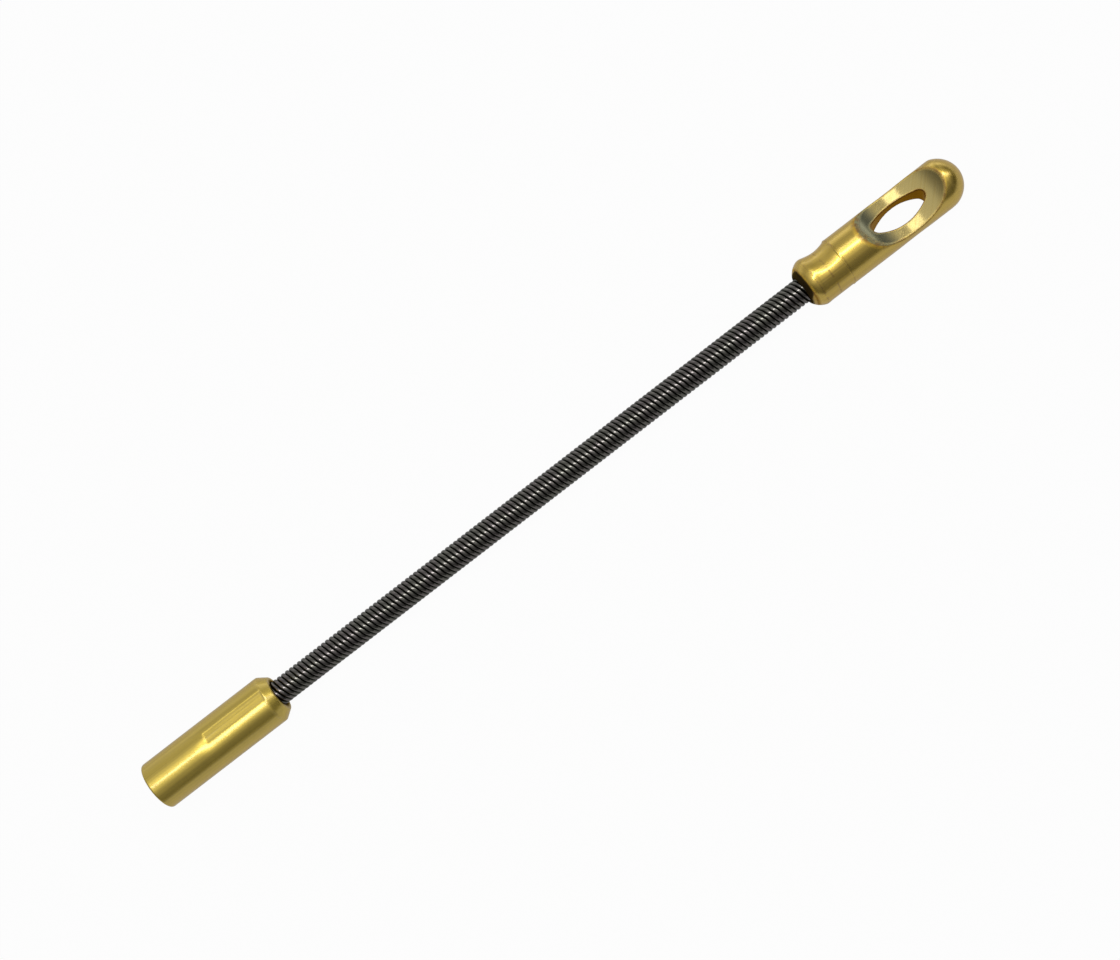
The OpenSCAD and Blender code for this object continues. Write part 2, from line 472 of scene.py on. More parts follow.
class EffectGroups:
    """Node groups that several materials share. Each is built once."""

    def __init__(self) -> None:
        """Builds all groups."""
        self.grain = self._grain()
        self.mottle = self._mottle()
        self.cuts = self._cuts()
        self.wear = self._wear()

    @staticmethod
    def _open(name: str, **inputs: float | None) -> tuple[Bench, bpy.types.NodeOutputs]:
        """Starts a group.

        Args:
            name: Name of the group.
            inputs: Each input's default, or None for a vector.

        Returns:
            A bench on the group and the plugs that its inputs come in by.
        """
        group = bpy.data.node_groups.new(name, "ShaderNodeTree")
        for key, value in inputs.items():
            kind = "NodeSocketVector" if value is None else "NodeSocketFloat"
            made = group.interface.new_socket(key.capitalize(), in_out="INPUT", socket_type=kind)
            if value is not None:
                made.default_value = value
        bench = Bench(group)
        return bench, bench.add("NodeGroupInput").outputs

    @staticmethod
    def _close(bench: Bench, output: str, result: Plug) -> bpy.types.NodeTree:
        """Gives a group its only output, a number.

        Args:
            bench: The bench on the group.
            output: Name of the output.
            result: What the group puts out.

        Returns:
            The group.
        """
        bench.tree.interface.new_socket(output, in_out="OUTPUT", socket_type="NodeSocketFloat")
        bench.add("NodeGroupOutput", {output: result})
        return bench.tree

    def _grain(self) -> bpy.types.NodeTree:
        """Fine lines that run along X.

        Returns:
            The group.
        """
        bench, given = self._open("lengthwise_grain", place=None, length=8.0, width=0.15)
        along = bench.math("DIVIDE", 1.0, given["Length"])
        across = bench.math("DIVIDE", 1.0, given["Width"])
        inputs = {0: given["Place"], 1: bench.join(along, across, across)}
        place = bench.add("ShaderNodeVectorMath", inputs, operation="MULTIPLY").outputs[0]
        return self._close(bench, "Mask", bench.noise(place, scale=1.0, detail=3.0, roughness=0.6))

    def _mottle(self) -> bpy.types.NodeTree:
        """Cloudy patches of one size.

        Returns:
            The group.
        """
        bench, given = self._open("cloudy_mottle", place=None, size=2.0, low=0.4, high=0.6)
        scale = bench.math("DIVIDE", 1.0, given["Size"])
        cloud = bench.noise(given["Place"], scale=scale, detail=4.0, roughness=0.55)
        return self._close(bench, "Mask", bench.step(cloud, given["Low"], given["High"]))

    def _cuts(self) -> bpy.types.NodeTree:
        """Parallel cutter marks in the XY plane, at an angle in radians to X.

        Returns:
            The group.
        """
        bench, given = self._open("cutter_marks", place=None, angle=0.0, pitch=0.3)
        inputs = {"Vector": given["Place"], "Angle": given["Angle"]}
        turned = bench.add("ShaderNodeVectorRotate", inputs, rotation_type="Z_AXIS").outputs[0]
        along, across, _ = bench.split(turned)
        across = bench.math("DIVIDE", across, given["Pitch"])
        stretch = 0.12
        place = bench.join(bench.math("MULTIPLY", along, stretch), across, 0.0)
        lines = bench.noise(place, scale=1.0, detail=2.0, roughness=0.5)
        return self._close(bench, "Height", lines)

    def _wear(self) -> bpy.types.NodeTree:
        """Edges rubbed bright or dark, broken up so that no edge is worn evenly.

        Returns:
            The group.
        """
        bench, given = self._open("edge_wear", place=None, edge=0.0, amount=0.5)
        patches = bench.noise(given["Place"], scale=1.3, detail=3.0)
        broken = bench.step(patches, low=0.3, high=0.7)
        share = bench.math("MULTIPLY", given["Edge"], broken)
        worn = bench.math("MULTIPLY", share, given["Amount"], clamp=True)
        return self._close(bench, "Mask", worn)


@dataclass(frozen=True)
class BrassFinish:
    """Turned brass with drawing lines, cutter marks, worn edges and a thin clear coat.

    The cut colour shows only on milled faces, and so does a grey reflection painted on the scoops
    near the neck. Creases are the places along X where crimping jaws left a line round the piece.
    Their grooves, the bores and the wire mouths get painted shade. The cut angle is in radians.
    """

    colour: Colour
    shade: Colour
    edge: Colour
    # Dark brown painted shade for the bores, the oval hole's wall and the crease grooves.
    painted_hollow_shade: Colour
    # Near-black colour of the shade painted round the wire mouths.
    painted_mouth_shade: Colour
    edge_share: float
    edge_dulling: float
    pressed_dulling: float
    roughness: float
    streaks: float
    wave_depth: float
    cut: Colour = (0.68, 0.53, 0.165)
    # Grey tone painted on the scoops near the neck, standing in for a reflection of grey
    # surroundings.
    painted_grey_reflection: Colour = (0.41, 0.41, 0.23)
    milled_roughness: float = 0.18
    matt_dulling: float = 0.7
    cloud_share: float = 0.05
    cloud_roughness: float = 0.02
    speck_share: float = 0.12
    streak_span: Span = (0.4, 0.62)
    cut_share: float = 0.35
    cut_span: Span = (0.4, 0.75)
    score_share: float = 0.15
    score_span: Span = (0.5, 0.7)
    grain_depth: float = 0.001
    score_depth: float = 0.025
    cut_depth: float = 0.008
    cut_angle: float = -0.75
    cut_pitch: float = 0.3
    creases: tuple[float, ...] = ()
    crease_width: float = 0.14
    crease_depth: float = 0.02
    # Share of painted shade in the crease grooves.
    crease_shade_share: float = 0.5
    coat_roughness: float = 0.18
    coat_index: float = 1.7
    grazing_tint: Colour = (1.0, 0.8, 0.45)

    def material(self, name: str, groups: EffectGroups) -> bpy.types.Material:
        """Builds the finish as a node material.

        Args:
            name: Name of the material.
            groups: The shared node groups.

        Returns:
            The material.
        """
        made, bench = new_material(name)
        on = self._patterns(bench, groups)
        dull = bench.math("MAXIMUM", bench.math("MAXIMUM", on["bored"], on["painted_mouth_shade"]), on["matt"])
        inputs = {
            "Base Color": self._colour(bench, on),
            "Roughness": self._roughness(bench, on),
            "Metallic": 1.0,
            "Specular Tint": (*self.grazing_tint, 1),
            "Normal": self._normal(bench, on),
            "Coat Weight": bench.math("SUBTRACT", 1.0, dull, clamp=True),
            "Coat Roughness": self.coat_roughness,
            "Coat IOR": self.coat_index,
        }
        bench.principled(inputs)
        return made

    def _patterns(self, bench: Bench, groups: EffectGroups) -> dict[str, Plug]:
        """Adds the masks and patterns that the finish is put together from.

        Args:
            bench: The bench of the material.
            groups: The shared node groups.

        Returns:
            Each mask or pattern by its name.
        """
        place = bench.place()
        on = {wear.value: bench.mask(wear) for wear in Wear}
        on["plain"] = bench.math("SUBTRACT", 1.0, on["milled"], clamp=True)
        on["matt"] = bench.math("MULTIPLY", on["edge"], self.edge_dulling)
        on["worn"] = bench.use(groups.wear, place=place, edge=on["edge"], amount=self.edge_share)
        on["wave"] = bench.noise(place, scale=0.22, detail=1.0)
        on["grain"] = bench.use(groups.grain, place=place, length=12.0, width=0.16)
        on["bands"] = bench.use(groups.grain, place=place, length=30.0, width=0.5)
        on["scores"] = bench.use(groups.grain, place=place, length=9.0, width=0.3)
        on["cloud"] = bench.use(groups.mottle, place=place, size=1.3)
        on["specks"] = bench.use(groups.mottle, place=place, size=0.35, low=0.55, high=0.8)
        on["cuts"] = bench.use(
            groups.cuts, place=place, angle=self.cut_angle, pitch=self.cut_pitch
        )
        if self.creases:
            on["crease"] = bench.math("MULTIPLY", self._crease(bench, place), on["cloud"])
        return on

    def _crease(self, bench: Bench, place: Plug) -> Plug:
        """Adds the fine lines that the crimping jaws left round the piece.

        Args:
            bench: The bench of the material.
            place: The place in millimetres.

        Returns:
            A mask, 1 in the middle of a line.
        """
        along = bench.split(place)[0]
        mask: Value = 0.0
        for middle in self.creases:
            away = bench.math("SUBTRACT", along, middle)
            mask = bench.math("ADD", bench.bell(away, 1 / self.crease_width), mask)
        return mask

    def _colour(self, bench: Bench, on: dict[str, Plug]) -> Plug:
        """Adds the tone of the brass, one layer over the other, with painted shade and a painted
        grey reflection among the layers.

        Args:
            bench: The bench of the material.
            on: The masks and patterns.

        Returns:
            The colour.
        """
        dark = bench.math("MULTIPLY", bench.step(on["bands"], *self.streak_span), self.streaks)
        dark = bench.math("MULTIPLY", dark, on["plain"])
        dark = bench.math("MULTIPLY_ADD", on["cloud"], self.cloud_share, dark)
        dark = bench.math("MULTIPLY_ADD", on["specks"], self.speck_share, dark, clamp=True)
        cuts = bench.step(bench.math("MULTIPLY", on["cuts"], on["milled"]), *self.cut_span)
        dark = bench.math("MULTIPLY_ADD", cuts, self.cut_share, dark, clamp=True)
        scored = bench.step(on["scores"], *self.score_span)
        scored = bench.math("MULTIPLY", scored, on["pressed"])
        scored = bench.math("MULTIPLY", scored, self.score_share)
        layers = [(on["milled"], self.cut), (dark, self.shade), (scored, self.edge)]
        layers += [(on["painted_grey_reflection"], self.painted_grey_reflection), (on["worn"], self.edge)]
        if self.creases:
            # Painted shade in the crease grooves, broken up by the mottle.
            layers.append((bench.math("MULTIPLY", on["crease"], self.crease_shade_share), self.painted_hollow_shade))
        # Painted shade inside the bores and on the oval hole's wall, then painted shade at the wire
        # mouths.
        layers += [(on["bored"], self.painted_hollow_shade), (on["painted_mouth_shade"], self.painted_mouth_shade)]
        colour: Colour | Plug = self.colour
        for share, layer in layers:
            colour = bench.mix(share, colour, layer)
        return colour

    def _roughness(self, bench: Bench, on: dict[str, Plug]) -> Plug:
        """Adds the roughness, which differs on milled faces, in marks and on edges.

        Args:
            bench: The bench of the material.
            on: The masks and patterns.

        Returns:
            The roughness.
        """
        rough: Value = self.roughness - self.cloud_roughness / 2
        rises = {
            "cloud": self.cloud_roughness,
            "milled": self.milled_roughness - self.roughness,
            "pressed": self.pressed_dulling,
            "matt": self.matt_dulling,
        }
        for name, rise in rises.items():
            rough = bench.math("MULTIPLY_ADD", on[name], rise, rough, clamp=name == "matt")
        return rough

    def _normal(self, bench: Bench, on: dict[str, Plug]) -> Plug:
        """Adds the relief that is too fine for the mesh.

        Args:
            bench: The bench of the material.
            on: The masks and patterns.

        Returns:
            The normal.
        """
        dents = bench.math("MULTIPLY", bench.math("SUBTRACT", on["scores"], 0.5), on["pressed"])
        cuts = bench.math("MULTIPLY", bench.math("SUBTRACT", on["cuts"], 0.5), on["milled"])
        reliefs = [
            (on["wave"], self.wave_depth),
            (bench.math("MULTIPLY", on["grain"], on["plain"]), self.grain_depth),
            (dents, self.score_depth),
            (cuts, self.cut_depth),
        ]
        if self.creases:
            reliefs.append((bench.math("SUBTRACT", 1.0, on["crease"]), self.crease_depth))
        normal = None
        for height, depth in reliefs:
            normal = bench.bump(height, depth, normal)
        return normal


@dataclass(frozen=True)
class SteelFinish:
    """Drawn wire: a tone that changes slowly, fine lines along each wire and dark flanks.

    The flank is where a wire turns away towards its neighbours, into the shade between wires. Its
    colour there is painted shade, which sets in over a span of angles in radians.
    """

    colour: Colour
    tint: Colour
    # Colour of the painted shade on the flanks between wires.
    flank: Colour
    roughness: float
    flank_shade_span: Span = (0.3, 0.95)
    tint_span: Span = (0.35, 0.65)
    line_stretch: Span = (0.3, 1.5)
    line_roughness: float = 0.1
    line_depth: float = 0.004

    def material(self, name: str) -> bpy.types.Material:
        """Builds the finish as a node material.

        Args:
            name: Name of the material.

        Returns:
            The material.
        """
        made, bench = new_material(name)
        along, aside = bench.mask(OnWire.ALONG), bench.mask(OnWire.ASIDE)
        pairs = zip((along, aside), self.line_stretch)
        stretched = [bench.math("MULTIPLY", plug, stretch) for plug, stretch in pairs]
        lines = bench.noise(bench.join(*stretched, 0.0), scale=1.0, detail=3.0)
        cloud = bench.noise(bench.place(), scale=0.35, detail=3.0)
        share = bench.step(cloud, *self.tint_span)
        colour = bench.mix(share, self.colour, self.tint)
        base = self.roughness - self.line_roughness / 2
        inputs = {
            # Painted shade darkens each wire's flanks towards its neighbours.
            "Base Color": bench.mix(bench.step(aside, *self.flank_shade_span), colour, self.flank),
            "Roughness": bench.math("MULTIPLY_ADD", lines, self.line_roughness, base),
            "Metallic": 1.0,
            "Normal": bench.bump(lines, self.line_depth),
        }
        bench.principled(inputs)
        return made


@dataclass
class TurnedPiece:
    """A piece turned from round bar, bounded by walls that meet in slightly rounded edges.

    The piece starts at a place along X. The step is the spacing of its mesh.
    """

    length: float
    start: float = 0.0
    bar_r: float = 4.0
    softness: float = 0.045
    step: float = 0.11

    def walls(self, p: Array) -> dict[str, Array]:
        """Signed distance to each bounding surface, below 0 on the side of the metal."""
        raise NotImplementedError

    def shape(self, p: Array) -> Array:
        """Signed distance to the whole piece, below 0 in the metal."""
        return blended_max(list(self.walls(p).values()), self.softness)

    def mesh(self, name: str) -> tuple[bpy.types.Object, Array]:
        """Makes the piece's mesh.

        Args:
            name: Name of the piece.

        Returns:
            The piece and its vertices in millimetres.
        """
        margin = 3 * self.step
        reach = self.bar_r + margin
        low = np.array([self.start - margin, -reach, -reach])
        high = np.array([self.start + self.length + margin, reach, reach])
        points, quads, normals = NetMesher(self.shape, self.step).build(low, high)
        return write_mesh(name, points, quads.tolist(), normals), points

    @staticmethod
    def dress(
        piece: bpy.types.Object, finish: bpy.types.Material, masks: dict[Wear, Array]
    ) -> None:
        """Gives the piece its brass and its masks.

        Args:
            piece: The piece.
            finish: The brass that it is made of.
            masks: Values of the masks that it needs. The others are 0 all over.
        """
        bare = np.zeros(len(piece.data.vertices))
        for wear in Wear:
            write_values(piece, wear, masks.get(wear, bare))
        piece.data.materials.append(finish)


@dataclass
class Socket(TurnedPiece):
    """The turned socket: a threaded hole at its mouth, a seat for the wires at its other end.

    A fixing tool has pressed a long mark into its top, and drawn in the metal beside the mark.
    Fades are the distances from a wall over which a mask sets in.
    """

    mouth_round: float = 0.4
    mouth_sink: float = 0.5
    chamfer_len: float = 1.5
    chamfer_drop: float = 1.05
    seat_r: float = 2.1
    seat_depth: float = 12.4
    thread_len: float = 8.4
    bore_len: float = 9.3
    drill_lean: float = 31.0
    minor_r: float = 2.08
    major_r: float = 2.5
    pitch: float = 0.8
    crest_share: float = 0.12
    press_start: float = 10.95
    press_len: float = 11.3
    press_side: float = 0.1
    press_half: float = 1.1
    press_slope: float = 1.0
    press_soft: float = 0.7
    press_depth: float = 0.27
    press_corner: float = 0.45
    sag_depth: float = 0.18
    sag_side: Span = (0.8, 2.8)
    sag_tilt: float = 0.35
    sag_tilt_half: float = 0.4
    sag_lead: Span = (-2.4, 0.4)
    sag_trail: Span = (-0.6, 0.6)
    bore_fade: Span = (-0.08, -0.02)
    painted_mouth_shade_fade: Span = (0.15, 0.7)
    press_fade: Span = (-0.2, 0.1)
    edge_reach: float = 0.25

    def press(self, p: Array) -> Array:
        """Signed distance in plan to the pressed mark.

        Args:
            p: Places in millimetres.

        Returns:
            The distance, below 0 inside the mark, and large on the underside.
        """
        middle = self.press_start + self.press_len / 2
        half = (self.press_len / 2, self.press_half)
        plan = rounded_box(p[:, 0] - middle, p[:, 1] - self.press_side, half, self.press_corner)
        return np.where(p[:, 2] > 0, plan, FAR)

    def sag(self, p: Array) -> Array:
        """Depth to which the metal beside the mark was drawn in, less so towards +Y.

        Args:
            p: Places in millimetres.

        Returns:
            The depth at each place.
        """
        x, y = p[:, 0], p[:, 1]
        lead = ramp(x - self.press_start, *self.sag_lead)
        trail = ramp(x - self.press_start - self.press_len, *self.sag_trail)
        beside = 1 - ramp(np.abs(y), *self.sag_side)
        tilt = 1 - self.sag_tilt * ramp(y, -self.sag_tilt_half, self.sag_tilt_half)
        return self.sag_depth * beside * tilt * lead * (1 - trail) * (p[:, 2] > 0)

    def thread_wall(self, p: Array, r: Array) -> Array:
        """Radius of the tapped hole less the radius of each place.

        Args:
            p: Places in millimetres.
            r: Their distance from the axis.

        Returns:
            Above 0 inside the hole.
        """
        x = p[:, 0]
        phase = x / self.pitch - np.arctan2(p[:, 2], p[:, 1]) / TURN
        wave = np.abs(2 * (phase - np.floor(phase)) - 1)
        groove = np.clip((wave - self.crest_share) / (1 - 2 * self.crest_share), 0, 1)
        fade = 1 - ramp(x, self.thread_len - self.pitch, self.thread_len)
        thread = self.minor_r + (self.major_r - self.minor_r) * groove * fade
        cone = self.minor_r + self.mouth_sink - x
        point = self.minor_r - (x - self.bore_len) / math.tan(math.radians(self.drill_lean))
        return np.minimum(np.maximum(thread, cone), point) - r

    def walls(self, p: Array) -> dict[str, Array]:
        """Signed distances to the surfaces that bound the socket.

        Args:
            p: Places in millimetres.

        Returns:
            For each surface, a value below 0 on the side of the metal.
        """
        x, r = p[:, 0], np.hypot(p[:, 1], p[:, 2])
        slant = math.hypot(self.chamfer_len, self.chamfer_drop)
        out, on = r - self.bar_r, x - self.length
        chamfer = (out * self.chamfer_len + (on + self.chamfer_len) * self.chamfer_drop) / slant
        rim = [np.maximum(away + self.mouth_round, 0) for away in (out, -x)]
        below = self.bar_r - p[:, 2]
        slope = (self.press(p) + below * self.press_slope) / math.hypot(1, self.press_slope)
        mark = blended_max([below - self.press_depth, slope], self.softness)
        return {
            "bar": out + self.sag(p),
            "mouth": -x,
            "round": np.hypot(*rim) - self.mouth_round,
            "chamfer": chamfer,
            "face": on,
            "flat": -self.press_soft * mark,
            "seat": np.minimum(self.seat_r - r, on + self.seat_depth),
            "thread": self.thread_wall(p, r),
        }

    def build(self, finish: bpy.types.Material) -> bpy.types.Object:
        """Makes the socket and puts it on its body.

        Args:
            finish: The brass that it is made of.

        Returns:
            The socket.
        """
        piece, points = self.mesh("socket_turned")
        walls = self.walls(points)
        masks = {
            Wear.PRESSED: 1 - ramp(self.press(points), *self.press_fade),
            # Inside the seat and the thread; the brass there gets painted shade.
            Wear.BORED: ramp(np.maximum(walls["seat"], walls["thread"]), *self.bore_fade),
            Wear.EDGE: edge_mask(walls, ("round", "flat"), self.edge_reach),
            # Painted shade on the socket's face round the wires and inside the seat.
            Wear.PAINTED_MOUTH_SHADE: 1 - ramp(-walls["seat"], *self.painted_mouth_shade_fade),
        }
        self.dress(piece, finish, masks)
        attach(piece, "socket_end")
        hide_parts("socket")
        return piece


@dataclass
class PullingEye(TurnedPiece):
    """The pulling eye: rolled-in back end, crimped waist, two scooped flats, oval hole, round nose.

    Places along the eye are counted from its back end. Fades are the spans over which a mask sets
    in, and the crimp turns from shallow to deep over a span of cosines from its deep side.
    """

    softness: float = 0.04
    nose_r: float = 4.1
    nose_shift: float = 0.1
    nose_clear: float = 0.05
    roll_r: float = 3.3
    roll_middle: Span = (0.843, 2.962)
    mouth_r: float = 2.3
    seat_r: float = 2.1
    seat_depth: float = 11.2
    waist_at: float = 4.8
    waist_half: float = 2.25
    waist_depth: float = 0.4
    waist_turn: Span = (-0.52, 0.36)
    waist_power: float = 1.2
    band_depth: float = 0.05
    band_start: Span = (2.2, 2.7)
    band_end: float = 6.85
    band_edge: float = 0.12
    lip_height: float = 0.06
    lip_width: float = 0.16
    scoop_at: float = 18.6
    scoop_r: float = 10.0
    web: float = 1.75
    oval_at: float = 18.2
    oval_len: float = 9.5
    oval_width: float = 3.8
    oval_tip: float = 1.064
    milled_fade: Span = (-0.2, -0.04)
    bore_fade: Span = (-0.16, -0.03)
    press_start: Span = (1.9, 2.6)
    press_end: float = 0.1
    press_wall: float = 0.3
    painted_mouth_shade_len: float = 0.5
    painted_mouth_shade_facing: Span = (0.35, 0.85)
    painted_mouth_shade_fade: Span = (0.15, 0.4)
    painted_grey_reflection_fade: Span = (13.4, 16.2)
    edge_reach: float = 0.7
    edge_narrowing: float = 0.38
    edge_span: Span = (12.5, 14.5)

    def waist(self, s: Array, side: Array) -> Array:
        """Depth to which the crimping tool pressed the bar in.

        Args:
            s: Distance from the back end.
            side: Cosine of the angle from the pressed side.

        Returns:
            The depth at each place.
        """
        away = np.clip(np.abs(s - self.waist_at) / self.waist_half, 0, 1)
        turn = ramp(side, *self.waist_turn)
        arc = self.waist_depth * turn * (1 - away**2) ** self.waist_power
        end = ramp(s, self.band_end - self.band_edge, self.band_end)
        band = self.band_depth * ramp(s, *self.band_start) * (1 - end)
        lip = self.lip_height * ridge(s, self.band_end + self.band_edge, self.lip_width)
        return arc + band - lip

    def walls(self, p: Array) -> dict[str, Array]:
        """Signed distances to the surfaces that bound the eye.

        Args:
            p: Places in millimetres.

        Returns:
            For each surface, a value below 0 on the side of the metal.
        """
        s, y, z = p[:, 0] - self.start, p[:, 1], p[:, 2]
        r = np.hypot(y, z)
        side = y / np.maximum(r, 1e-6)
        roll_x = np.minimum(s, self.roll_middle[1]) - self.roll_middle[1]
        ahead = s - self.length + self.nose_r
        dome = np.sqrt(np.maximum(ahead, 0) ** 2 + (y - self.nose_shift) ** 2 + z**2) - self.nose_r
        cutter = np.hypot(s - self.scoop_at, np.abs(z) - self.web / 2 - self.scoop_r)
        flare = self.seat_r + np.maximum(self.mouth_r - self.seat_r - s, 0)
        oval = (self.oval_len, self.oval_width, self.oval_tip)
        return {
            "bar": r - self.bar_r + self.waist(s, side),
            "roll": np.hypot(r - self.roll_middle[0], roll_x) - self.roll_r,
            "back": -s,
            "nose": np.where(ahead > 0, dome, r - self.bar_r - self.nose_clear),
            "scoop": self.scoop_r - cutter,
            "oval": -pointed_oval(s - self.oval_at, y, *oval),
            "seat": np.minimum(flare - r, self.seat_depth - s),
        }

    def build(self, finish: bpy.types.Material) -> bpy.types.Object:
        """Makes the eye and puts it on its body.

        Args:
            finish: The brass that it is made of.

        Returns:
            The eye.
        """
        piece, points = self.mesh("eye_turned")
        walls = self.walls(points)
        s, y, z = points[:, 0] - self.start, points[:, 1], points[:, 2]
        milled = ramp(walls["scoop"], *self.milled_fade)
        facing = ramp(np.abs(z) / np.hypot(y, z), *self.painted_mouth_shade_facing)
        pressed = ramp(s, *self.press_start)
        pressed = pressed * (1 - ramp(s, self.band_end - self.press_end, self.band_end))
        reach = self.edge_reach - self.edge_narrowing * ramp(s, *self.edge_span)
        masks = {
            Wear.MILLED: milled,
            Wear.PRESSED: pressed * (walls["seat"] < -self.press_wall),
            # Inside the seat and on the oval hole's wall; the brass there gets painted shade.
            Wear.BORED: ramp(np.maximum(walls["seat"], walls["oval"]), *self.bore_fade),
            Wear.EDGE: edge_mask(walls, ("roll", "nose"), reach),
            # Painted grey reflection on the scoops, fading out towards the nose.
            Wear.PAINTED_GREY_REFLECTION: milled * (1 - ramp(s, *self.painted_grey_reflection_fade)),
            # Painted shade at the eye's back end round the wires, reaching further where the
            # surface faces up or down.
            Wear.PAINTED_MOUTH_SHADE: 1 - ramp(s - self.painted_mouth_shade_len * facing, *self.painted_mouth_shade_fade),
        }
        self.dress(piece, finish, masks)
        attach(piece, "eye_end")
        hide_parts("eye_head")
        return piece


class Tube(NamedTuple):
    """Mesh of a stretch of one strand.

    Each vertex has a normal, its distance along the strand, and its angle from the outer side of
    the strand, from 0 to half a turn either way.
    """

    points: Array
    faces: Faces
    normals: Array
    along: Array
    aside: Array


@dataclass(frozen=True)
class Strand:
    """One wire or strand that winds round the leader's axis.

    Its section is round at a squareness of 2, and fuller above that.
    """

    ring_r: float
    wire_r: float
    lead: float
    phase: float
    sides: int = 16
    rings_per_turn: int = 40
    squareness: float = 2.15

    def tube(self, start: float, end: float) -> Tube:
        """Closed tube along the strand between two places on the axis.

        Args:
            start: Where the tube starts along X.
            end: Where the tube ends along X.

        Returns:
            The tube.
        """
        count = max(2, math.ceil(abs((end - start) / self.lead) * self.rings_per_turn)) + 1
        x = np.linspace(start, end, count)
        turn = TURN * (x / self.lead + self.phase)
        zero = np.zeros(count)
        out = np.stack([zero, np.cos(turn), np.sin(turn)], axis=1)
        round_way = np.stack([zero, -np.sin(turn), np.cos(turn)], axis=1)
        slope = TURN * self.ring_r / self.lead
        heading = round_way * slope + np.array([1.0, 0.0, 0.0])
        heading /= math.hypot(1, slope)
        side = np.cross(heading, out)
        angle = TURN * np.arange(self.sides) / self.sides
        wide, high = np.abs(np.sin(angle)), np.abs(np.cos(angle))
        fullness = (wide**self.squareness + high**self.squareness) ** (1 / self.squareness)
        radius = self.wire_r / fullness
        middle = out * self.ring_r + np.stack([x, zero, zero], axis=1)

        def spread(far: Array, flank: Array) -> Array:
            """Places values given for one ring on every ring of the strand."""
            rings = far[None, :, None] * out[:, None] + flank[None, :, None] * side[:, None]
            return rings.reshape(-1, 3)

        points = spread(radius * np.cos(angle), radius * np.sin(angle))
        points = points + np.repeat(middle, self.sides, axis=0)
        power = self.squareness - 1
        normals = spread(np.sign(np.cos(angle)) * high**power, np.sign(np.sin(angle)) * wide**power)
        normals /= np.linalg.norm(normals, axis=1)[:, None]
        here = np.arange(self.sides)
        after = np.roll(here, -1)
        quads = np.stack([here, after, after + self.sides, here + self.sides], axis=1)
        faces: Faces = []
        for first in range(0, (count - 1) * self.sides, self.sides):
            faces += (quads + first).tolist()
        faces += [here[::-1].tolist(), (here + (count - 1) * self.sides).tolist()]
        along = np.repeat((x - start) * math.hypot(1, slope), self.sides)
        aside = math.pi - np.abs(angle - math.pi)
        return Tube(points, faces, normals, along, np.tile(aside, count))


@dataclass
class WoundMember:
    """Something wound along the whole leader, cut into runs one after the other, one for each
    joint.
    """

    name: str
    slot: str
    strands: list[Strand]
    socket_floor: float
    flex_start: float
    flex_end: float
    eye_floor: float

    def run(
        self, label: str, start: float, end: float, finish: bpy.types.Material
    ) -> bpy.types.Object:
        """Makes all strands between two places as one piece.

        Args:
            label: The run's own part of the piece name.
            start: Where the run starts along X.
            end: Where the run ends along X.
            finish: The material of the strands.

        Returns:
            The run.
        """
        tubes = [strand.tube(start, end) for strand in self.strands]
        faces: Faces = []
        first = 0
        for tube in tubes:
            faces += [[corner + first for corner in face] for face in tube.faces]
            first += len(tube.points)
        points = np.concatenate([tube.points for tube in tubes])
        normals = np.concatenate([tube.normals for tube in tubes])
        along = [tube.along + PATTERN_SHIFT * number for number, tube in enumerate(tubes, 1)]
        piece = write_mesh(f"{self.name}_{label}", points, faces, normals)
        write_values(piece, OnWire.ALONG, np.concatenate(along))
        write_values(piece, OnWire.ASIDE, np.concatenate([tube.aside for tube in tubes]))
        piece.data.materials.append(finish)
        return piece

    def build(self, finish: bpy.types.Material) -> list[bpy.types.Object]:
        """Makes the two ends in the brass and one run for each bend.

        Args:
            finish: The material of the strands.

        Returns:
            The end in the socket, the runs in order, and the end in the eye.
        """
        joints = frame["joints"]
        link = (self.flex_end - self.flex_start) / len(joints)
        first = self.run("in_socket", self.socket_floor, self.flex_start, finish)
        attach(first, joints[0]["parent"])
        made = [first]
        for number, joint in enumerate(joints):
            start = self.flex_start + number * link
            end = start + link
            piece = self.run(f"run_{number + 1:02d}", start, end, finish)
            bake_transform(piece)
            made.append(piece)
        last = self.run("in_eye", self.flex_end, self.eye_floor, finish)
        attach(last, joints[-1]["child"])
        made.append(last)
        return made


def outer_wires(spans: dict[str, float], count: int = 5, lead: float = 3.835) -> WoundMember:
    """The black wires that lie side by side on the outside.

    Args:
        spans: Where the seats and the free length begin and end.
        count: How many wires lie side by side.
        lead: How far one turn takes a wire along X.

    Returns:
        The member, ready to build.
    """
    ring_r, wire_r = 1.668, 0.361
    strands = [Strand(ring_r, wire_r, lead, i / count) for i in range(count)]
    return WoundMember("outer_wires", "black_wire", strands, **spans)


def rope_core(spans: dict[str, float], count: int = 6, lead: float = -9.0) -> WoundMember:
    """The rope inside: strands laid round a middle strand, the other way from the outer wires.

    Args:
        spans: Where the seats and the free length begin and end.
        count: How many strands lie round the middle one.
        lead: How far one turn takes a strand along X, below 0 for a left-hand lay.

    Returns:
        The member, ready to build.
    """
    ring_r, wire_r, middle_r = 0.73, 0.355, 0.37
    strands = [Strand(0.0, middle_r, lead, 0.0, sides=8, rings_per_turn=16)]
    for number in range(count):
        phase = number / count
        strands.append(Strand(ring_r, wire_r, lead, phase, sides=10, rings_per_turn=24))
    return WoundMember("rope_core", "rope_steel", strands, **spans)


